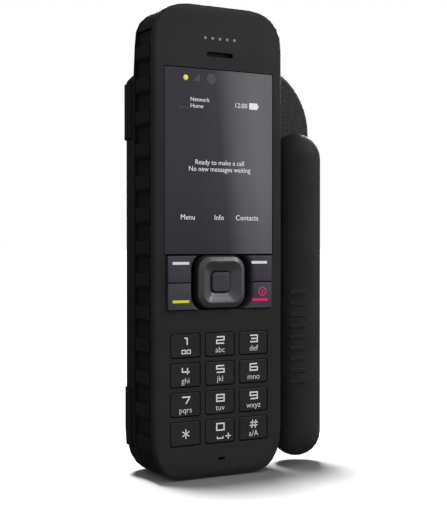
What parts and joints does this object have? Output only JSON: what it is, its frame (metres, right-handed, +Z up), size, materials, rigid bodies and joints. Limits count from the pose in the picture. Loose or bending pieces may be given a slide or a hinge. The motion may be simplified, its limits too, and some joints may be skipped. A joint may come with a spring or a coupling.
{
  "type": "satellite phone",
  "caption": "Rugged handheld satellite phone with display, keypad, ribbed rubber side grips and a swing-out antenna rod stowed along its side.",
  "frame": {"origin": "centre of the flat bottom end of the housing", "axes": "+Z up along the phone, +X to the right as the keypad is read, +Y from the keypad towards the back"},
  "size_m": [0.0759, 0.0322, 0.1694],
  "materials": {
    "housing": "fine moulded texture, near black",
    "grip_rubber": "matt, near black",
    "ear_texture": "fine leather-like grain",
    "glass": "gloss, dark tint",
    "display": "gloss",
    "key": "matt with white printed figures",
    "soft_key": "satin with printed bars",
    "ring": "satin, slightly metallic paint",
    "silicone": "matt",
    "board": "green solder mask",
    "steel": "satin",
    "gold": "gold plated",
    "black_plastic": "matt",
    "battery_label": "satin film",
    "card": "satin",
    "ceramic": "matt",
    "light": "clear, lit yellow"
  },
  "bodies": {
    "root": {"front_housing": "housing", "rear_housing": "housing", "housing_gasket": "silicone", "left_grip": "grip_rubber", "right_grip": "grip_rubber", "display_window": "glass", "display_module": "display", "light_pipe": "light", "keypad_mat": "silicone", "key_switch_board": "board", "main_board": "board", "rf_shield": "steel", "earpiece": "black_plastic", "earpiece_mesh": "black_plastic", "microphone": "steel", "loudspeaker": "black_plastic", "vibration_motor": "steel", "battery": "battery_label", "battery_contacts": "gold", "sim_card": "card", "usb_socket": "steel", "audio_socket": "black_plastic", "antenna_port": "gold", "screw_top_left": "steel", "screw_top_right": "steel", "screw_bottom_left": "steel", "screw_bottom_right": "steel", "antenna_hinge_housing": "ear_texture", "friction_washer": "steel", "hinge_cap": "ear_texture"},
    "antenna": {"antenna_front_shell": "housing", "antenna_rear_shell": "housing", "antenna_core": "ceramic", "hinge_pin": "steel"},
    "nav_carrier": {"nav_carrier": "silicone"},
    "nav_ring": {"nav_ring": "ring"},
    "nav_centre": {"nav_centre": "soft_key"},
    "volume_rocker": {"volume_rocker": "grip_rubber"},
    "alert_key": {"alert_key": "key"},
    "alert_cover": {"alert_cover": "grip_rubber"},
    "battery_door": {"battery_door": "housing"},
    "battery_latch": {"battery_latch": "steel"},
    "port_cover": {"port_cover": "grip_rubber"},
    "antenna_port_plug": {"antenna_port_plug": "grip_rubber"},
    "soft_key_left": {"soft_key_left": "soft_key"},
    "soft_key_right": {"soft_key_right": "soft_key"},
    "call_key": {"call_key": "soft_key"},
    "end_key": {"end_key": "soft_key"},
    "key_1": {"key_1": "key"},
    "key_2": {"key_2": "key"},
    "key_3": {"key_3": "key"},
    "key_4": {"key_4": "key"},
    "key_5": {"key_5": "key"},
    "key_6": {"key_6": "key"},
    "key_7": {"key_7": "key"},
    "key_8": {"key_8": "key"},
    "key_9": {"key_9": "key"},
    "key_star": {"key_star": "key"},
    "key_0": {"key_0": "key"},
    "key_hash": {"key_hash": "key"}
  },
  "joints": [
    {"name": "antenna_swing", "type": "hinge", "parent": "root", "child": "antenna", "pos_m": [0.0392, 0, 0.11685], "axis": [0, -1, 0], "range_deg": [0, 180]},
    {"name": "key_1_press", "type": "slide", "parent": "root", "child": "key_1", "axis": [0, 1, 0], "range_m": [0, 0.0004], "stiffness_N_per_m": 1500},
    {"name": "key_2_press", "type": "slide", "parent": "root", "child": "key_2", "axis": [0, 1, 0], "range_m": [0, 0.0004], "stiffness_N_per_m": 1500},
    {"name": "key_3_press", "type": "slide", "parent": "root", "child": "key_3", "axis": [0, 1, 0], "range_m": [0, 0.0004], "stiffness_N_per_m": 1500},
    {"name": "key_4_press", "type": "slide", "parent": "root", "child": "key_4", "axis": [0, 1, 0], "range_m": [0, 0.0004], "stiffness_N_per_m": 1500},
    {"name": "key_5_press", "type": "slide", "parent": "root", "child": "key_5", "axis": [0, 1, 0], "range_m": [0, 0.0004], "stiffness_N_per_m": 1500},
    {"name": "key_6_press", "type": "slide", "parent": "root", "child": "key_6", "axis": [0, 1, 0], "range_m": [0, 0.0004], "stiffness_N_per_m": 1500},
    {"name": "key_7_press", "type": "slide", "parent": "root", "child": "key_7", "axis": [0, 1, 0], "range_m": [0, 0.0004], "stiffness_N_per_m": 1500},
    {"name": "key_8_press", "type": "slide", "parent": "root", "child": "key_8", "axis": [0, 1, 0], "range_m": [0, 0.0004], "stiffness_N_per_m": 1500},
    {"name": "key_9_press", "type": "slide", "parent": "root", "child": "key_9", "axis": [0, 1, 0], "range_m": [0, 0.0004], "stiffness_N_per_m": 1500},
    {"name": "key_star_press", "type": "slide", "parent": "root", "child": "key_star", "axis": [0, 1, 0], "range_m": [0, 0.0004], "stiffness_N_per_m": 1500},
    {"name": "key_0_press", "type": "slide", "parent": "root", "child": "key_0", "axis": [0, 1, 0], "range_m": [0, 0.0004], "stiffness_N_per_m": 1500},
    {"name": "key_hash_press", "type": "slide", "parent": "root", "child": "key_hash", "axis": [0, 1, 0], "range_m": [0, 0.0004], "stiffness_N_per_m": 1500},
    {"name": "soft_key_left_press", "type": "slide", "parent": "root", "child": "soft_key_left", "axis": [0, 1, 0], "range_m": [0, 0.0004], "stiffness_N_per_m": 1500},
    {"name": "soft_key_right_press", "type": "slide", "parent": "root", "child": "soft_key_right", "axis": [0, 1, 0], "range_m": [0, 0.0004], "stiffness_N_per_m": 1500},
    {"name": "call_key_press", "type": "slide", "parent": "root", "child": "call_key", "axis": [0, 1, 0], "range_m": [0, 0.0004], "stiffness_N_per_m": 1500},
    {"name": "end_key_press", "type": "slide", "parent": "root", "child": "end_key", "axis": [0, 1, 0], "range_m": [0, 0.0004], "stiffness_N_per_m": 1500},
    {"name": "nav_centre_press", "type": "slide", "parent": "root", "child": "nav_centre", "axis": [0, 1, 0], "range_m": [0, 0.0004], "stiffness_N_per_m": 1500},
    {"name": "nav_up_down", "type": "hinge", "parent": "root", "child": "nav_carrier", "pos_m": [0, -0.0132, 0.0705], "axis": [1, 0, 0], "range_deg": [-2.5, 2.5], "stiffness_Nm_per_rad": 0.4},
    {"name": "nav_left_right", "type": "hinge", "parent": "nav_carrier", "child": "nav_ring", "pos_m": [0, -0.0132, 0.0705], "axis": [0, 0, 1], "range_deg": [-2.5, 2.5], "stiffness_Nm_per_rad": 0.4},
    {"name": "volume_rock", "type": "hinge", "parent": "root", "child": "volume_rocker", "pos_m": [0.0242, -0.0064, 0.1394], "axis": [0, 1, 0], "range_deg": [-2, 2], "stiffness_Nm_per_rad": 0.4},
    {"name": "alert_press", "type": "slide", "parent": "root", "child": "alert_key", "axis": [0, 0, -1], "range_m": [0, 0.0004], "stiffness_N_per_m": 1500},
    {"name": "alert_cover_open", "type": "hinge", "parent": "root", "child": "alert_cover", "pos_m": [0, -0.0022, 0.1693], "axis": [-1, 0, 0], "range_deg": [0, 110]},
    {"name": "battery_door_off", "type": "slide", "parent": "root", "child": "battery_door", "axis": [0, 1, 0], "range_m": [0, 0.02]},
    {"name": "battery_latch_turn", "type": "hinge", "parent": "battery_door", "child": "battery_latch", "pos_m": [0, 0.0145, 0.1023], "axis": [0, 1, 0], "range_deg": [0, 90]},
    {"name": "port_cover_open", "type": "hinge", "parent": "root", "child": "port_cover", "pos_m": [-0.02545, 0.0119, 0.1322], "axis": [0, 0, -1], "range_deg": [0, 110]},
    {"name": "antenna_port_plug_off", "type": "slide", "parent": "root", "child": "antenna_port_plug", "axis": [0, 1, 0], "range_m": [0, 0.008]}
  ]
}
